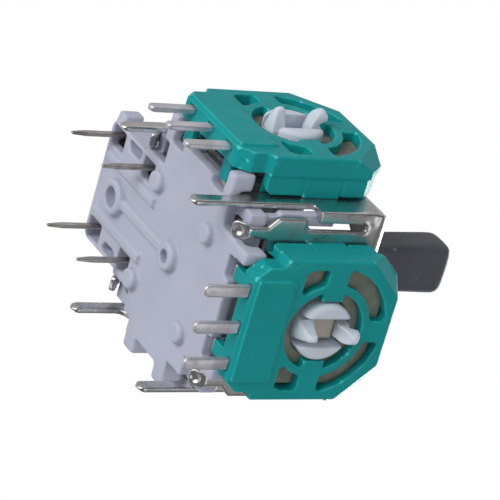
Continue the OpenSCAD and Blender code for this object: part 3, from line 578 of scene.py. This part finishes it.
def add_stage():
    """A pale floor under the part that only the camera sees, and only from above."""
    bm = bmesh.new()
    bmesh.ops.create_grid(bm, x_segments=1, y_segments=1, size=FLOOR_HALF)
    bmesh.ops.translate(bm, verts=bm.verts, vec=(0, 0, cad_box[0].z))
    mesh = bpy.data.meshes.new("floor")
    bm.to_mesh(mesh)
    bm.free()
    floor = bpy.data.objects.new("floor", mesh)
    bpy.context.scene.collection.objects.link(floor)
    material = bpy.data.materials.new("floor")
    material.use_nodes = True
    tree = material.node_tree
    plain = tree.nodes["Principled BSDF"]
    plain.inputs["Base Color"].default_value = (0.9, 0.9, 0.9, 1)
    plain.inputs["Roughness"].default_value = 0.9
    clear = tree.nodes.new("ShaderNodeBsdfTransparent")
    side = tree.nodes.new("ShaderNodeNewGeometry")
    choose = tree.nodes.new("ShaderNodeMixShader")
    rays = tree.nodes.new("ShaderNodeLightPath")
    above = tree.nodes.new("ShaderNodeMath")
    above.operation = "SUBTRACT"
    above.use_clamp = True
    tree.links.new(rays.outputs["Is Camera Ray"], above.inputs[0])
    tree.links.new(side.outputs["Backfacing"], above.inputs[1])
    tree.links.new(above.outputs["Value"], choose.inputs["Fac"])
    tree.links.new(clear.outputs["BSDF"], choose.inputs[1])
    tree.links.new(plain.outputs["BSDF"], choose.inputs[2])
    tree.links.new(choose.outputs["Shader"], tree.nodes["Material Output"].inputs["Surface"])
    floor.data.materials.append(material)


# Greys that the metal reflects, from the part's front to its rear
REFLECTED = ((0.0, 0.1), (0.42, 0.16), (0.55, 0.75), (0.7, 0.3), (0.8, 0.9), (0.87, 0.4))
EVEN_LIGHT = 0.42


def add_world():
    """White behind the part, an even light on it, and a darker front side in what the metal reflects."""
    world = bpy.data.worlds.new("studio")
    bpy.context.scene.world = world
    world.use_nodes = True
    tree = world.node_tree
    light = tree.nodes["Background"]
    light.inputs["Color"].default_value = (1, 1, 1, 1)
    light.inputs["Strength"].default_value = EVEN_LIGHT
    white = tree.nodes.new("ShaderNodeBackground")
    white.inputs["Color"].default_value = (1, 1, 1, 1)
    white.inputs["Strength"].default_value = 1
    mirrored = tree.nodes.new("ShaderNodeBackground")
    direction = tree.nodes.new("ShaderNodeTexCoord")
    split = tree.nodes.new("ShaderNodeSeparateXYZ")
    ramp = tree.nodes.new("ShaderNodeValToRGB")
    stops = ramp.color_ramp.elements
    for k, (along, grey) in enumerate(REFLECTED):
        stop = stops[k] if k < 2 else stops.new(along)
        stop.position = along
        stop.color = (grey, grey, grey, 1)
    half = tree.nodes.new("ShaderNodeMath")
    half.operation = "MULTIPLY_ADD"
    half.inputs[1].default_value = 0.5
    half.inputs[2].default_value = 0.5
    tree.links.new(direction.outputs["Generated"], split.inputs["Vector"])
    tree.links.new(split.outputs["Y"], half.inputs[0])
    tree.links.new(half.outputs["Value"], ramp.inputs["Fac"])
    tree.links.new(ramp.outputs["Color"], mirrored.inputs["Color"])
    rays = tree.nodes.new("ShaderNodeLightPath")
    gloss = tree.nodes.new("ShaderNodeMixShader")
    tree.links.new(rays.outputs["Is Glossy Ray"], gloss.inputs["Fac"])
    tree.links.new(light.outputs["Background"], gloss.inputs[1])
    tree.links.new(mirrored.outputs["Background"], gloss.inputs[2])
    choose = tree.nodes.new("ShaderNodeMixShader")
    tree.links.new(rays.outputs["Is Camera Ray"], choose.inputs["Fac"])
    tree.links.new(gloss.outputs["Shader"], choose.inputs[1])
    tree.links.new(white.outputs["Background"], choose.inputs[2])
    tree.links.new(choose.outputs["Shader"], tree.nodes["World Output"].inputs["Surface"])


LAMP_SIZE = 0.3
LAMP_TARGET = Vector((0, 0, 0.009))


def add_lamp(name, spot, watts):
    """A square lamp at a spot in metres, turned to the part."""
    data = bpy.data.lights.new(name, "AREA")
    data.shape = "SQUARE"
    data.size = LAMP_SIZE
    data.energy = watts
    lamp = bpy.data.objects.new(name, data)
    bpy.context.scene.collection.objects.link(lamp)
    lamp.location = spot
    lamp.rotation_mode = "QUATERNION"
    lamp.rotation_quaternion = (LAMP_TARGET - Vector(spot)).to_track_quat("-Z", "Y")


add_camera()
add_stage()
add_world()
# The photograph's main light comes from the picture's upper left, which is below and beside the part
add_lamp("lamp_main", (-0.3, -0.07, -0.42), 1.7)
add_lamp("lamp_top", (0.22, 0.15, 0.42), 1.5)
add_lamp("lamp_front", (0.1, -0.5, 0.1), 0.35)
add_lamp("lamp_back", (0.1, 0.5, 0.1), 0.35)
bpy.context.scene.view_settings.view_transform = "Standard"
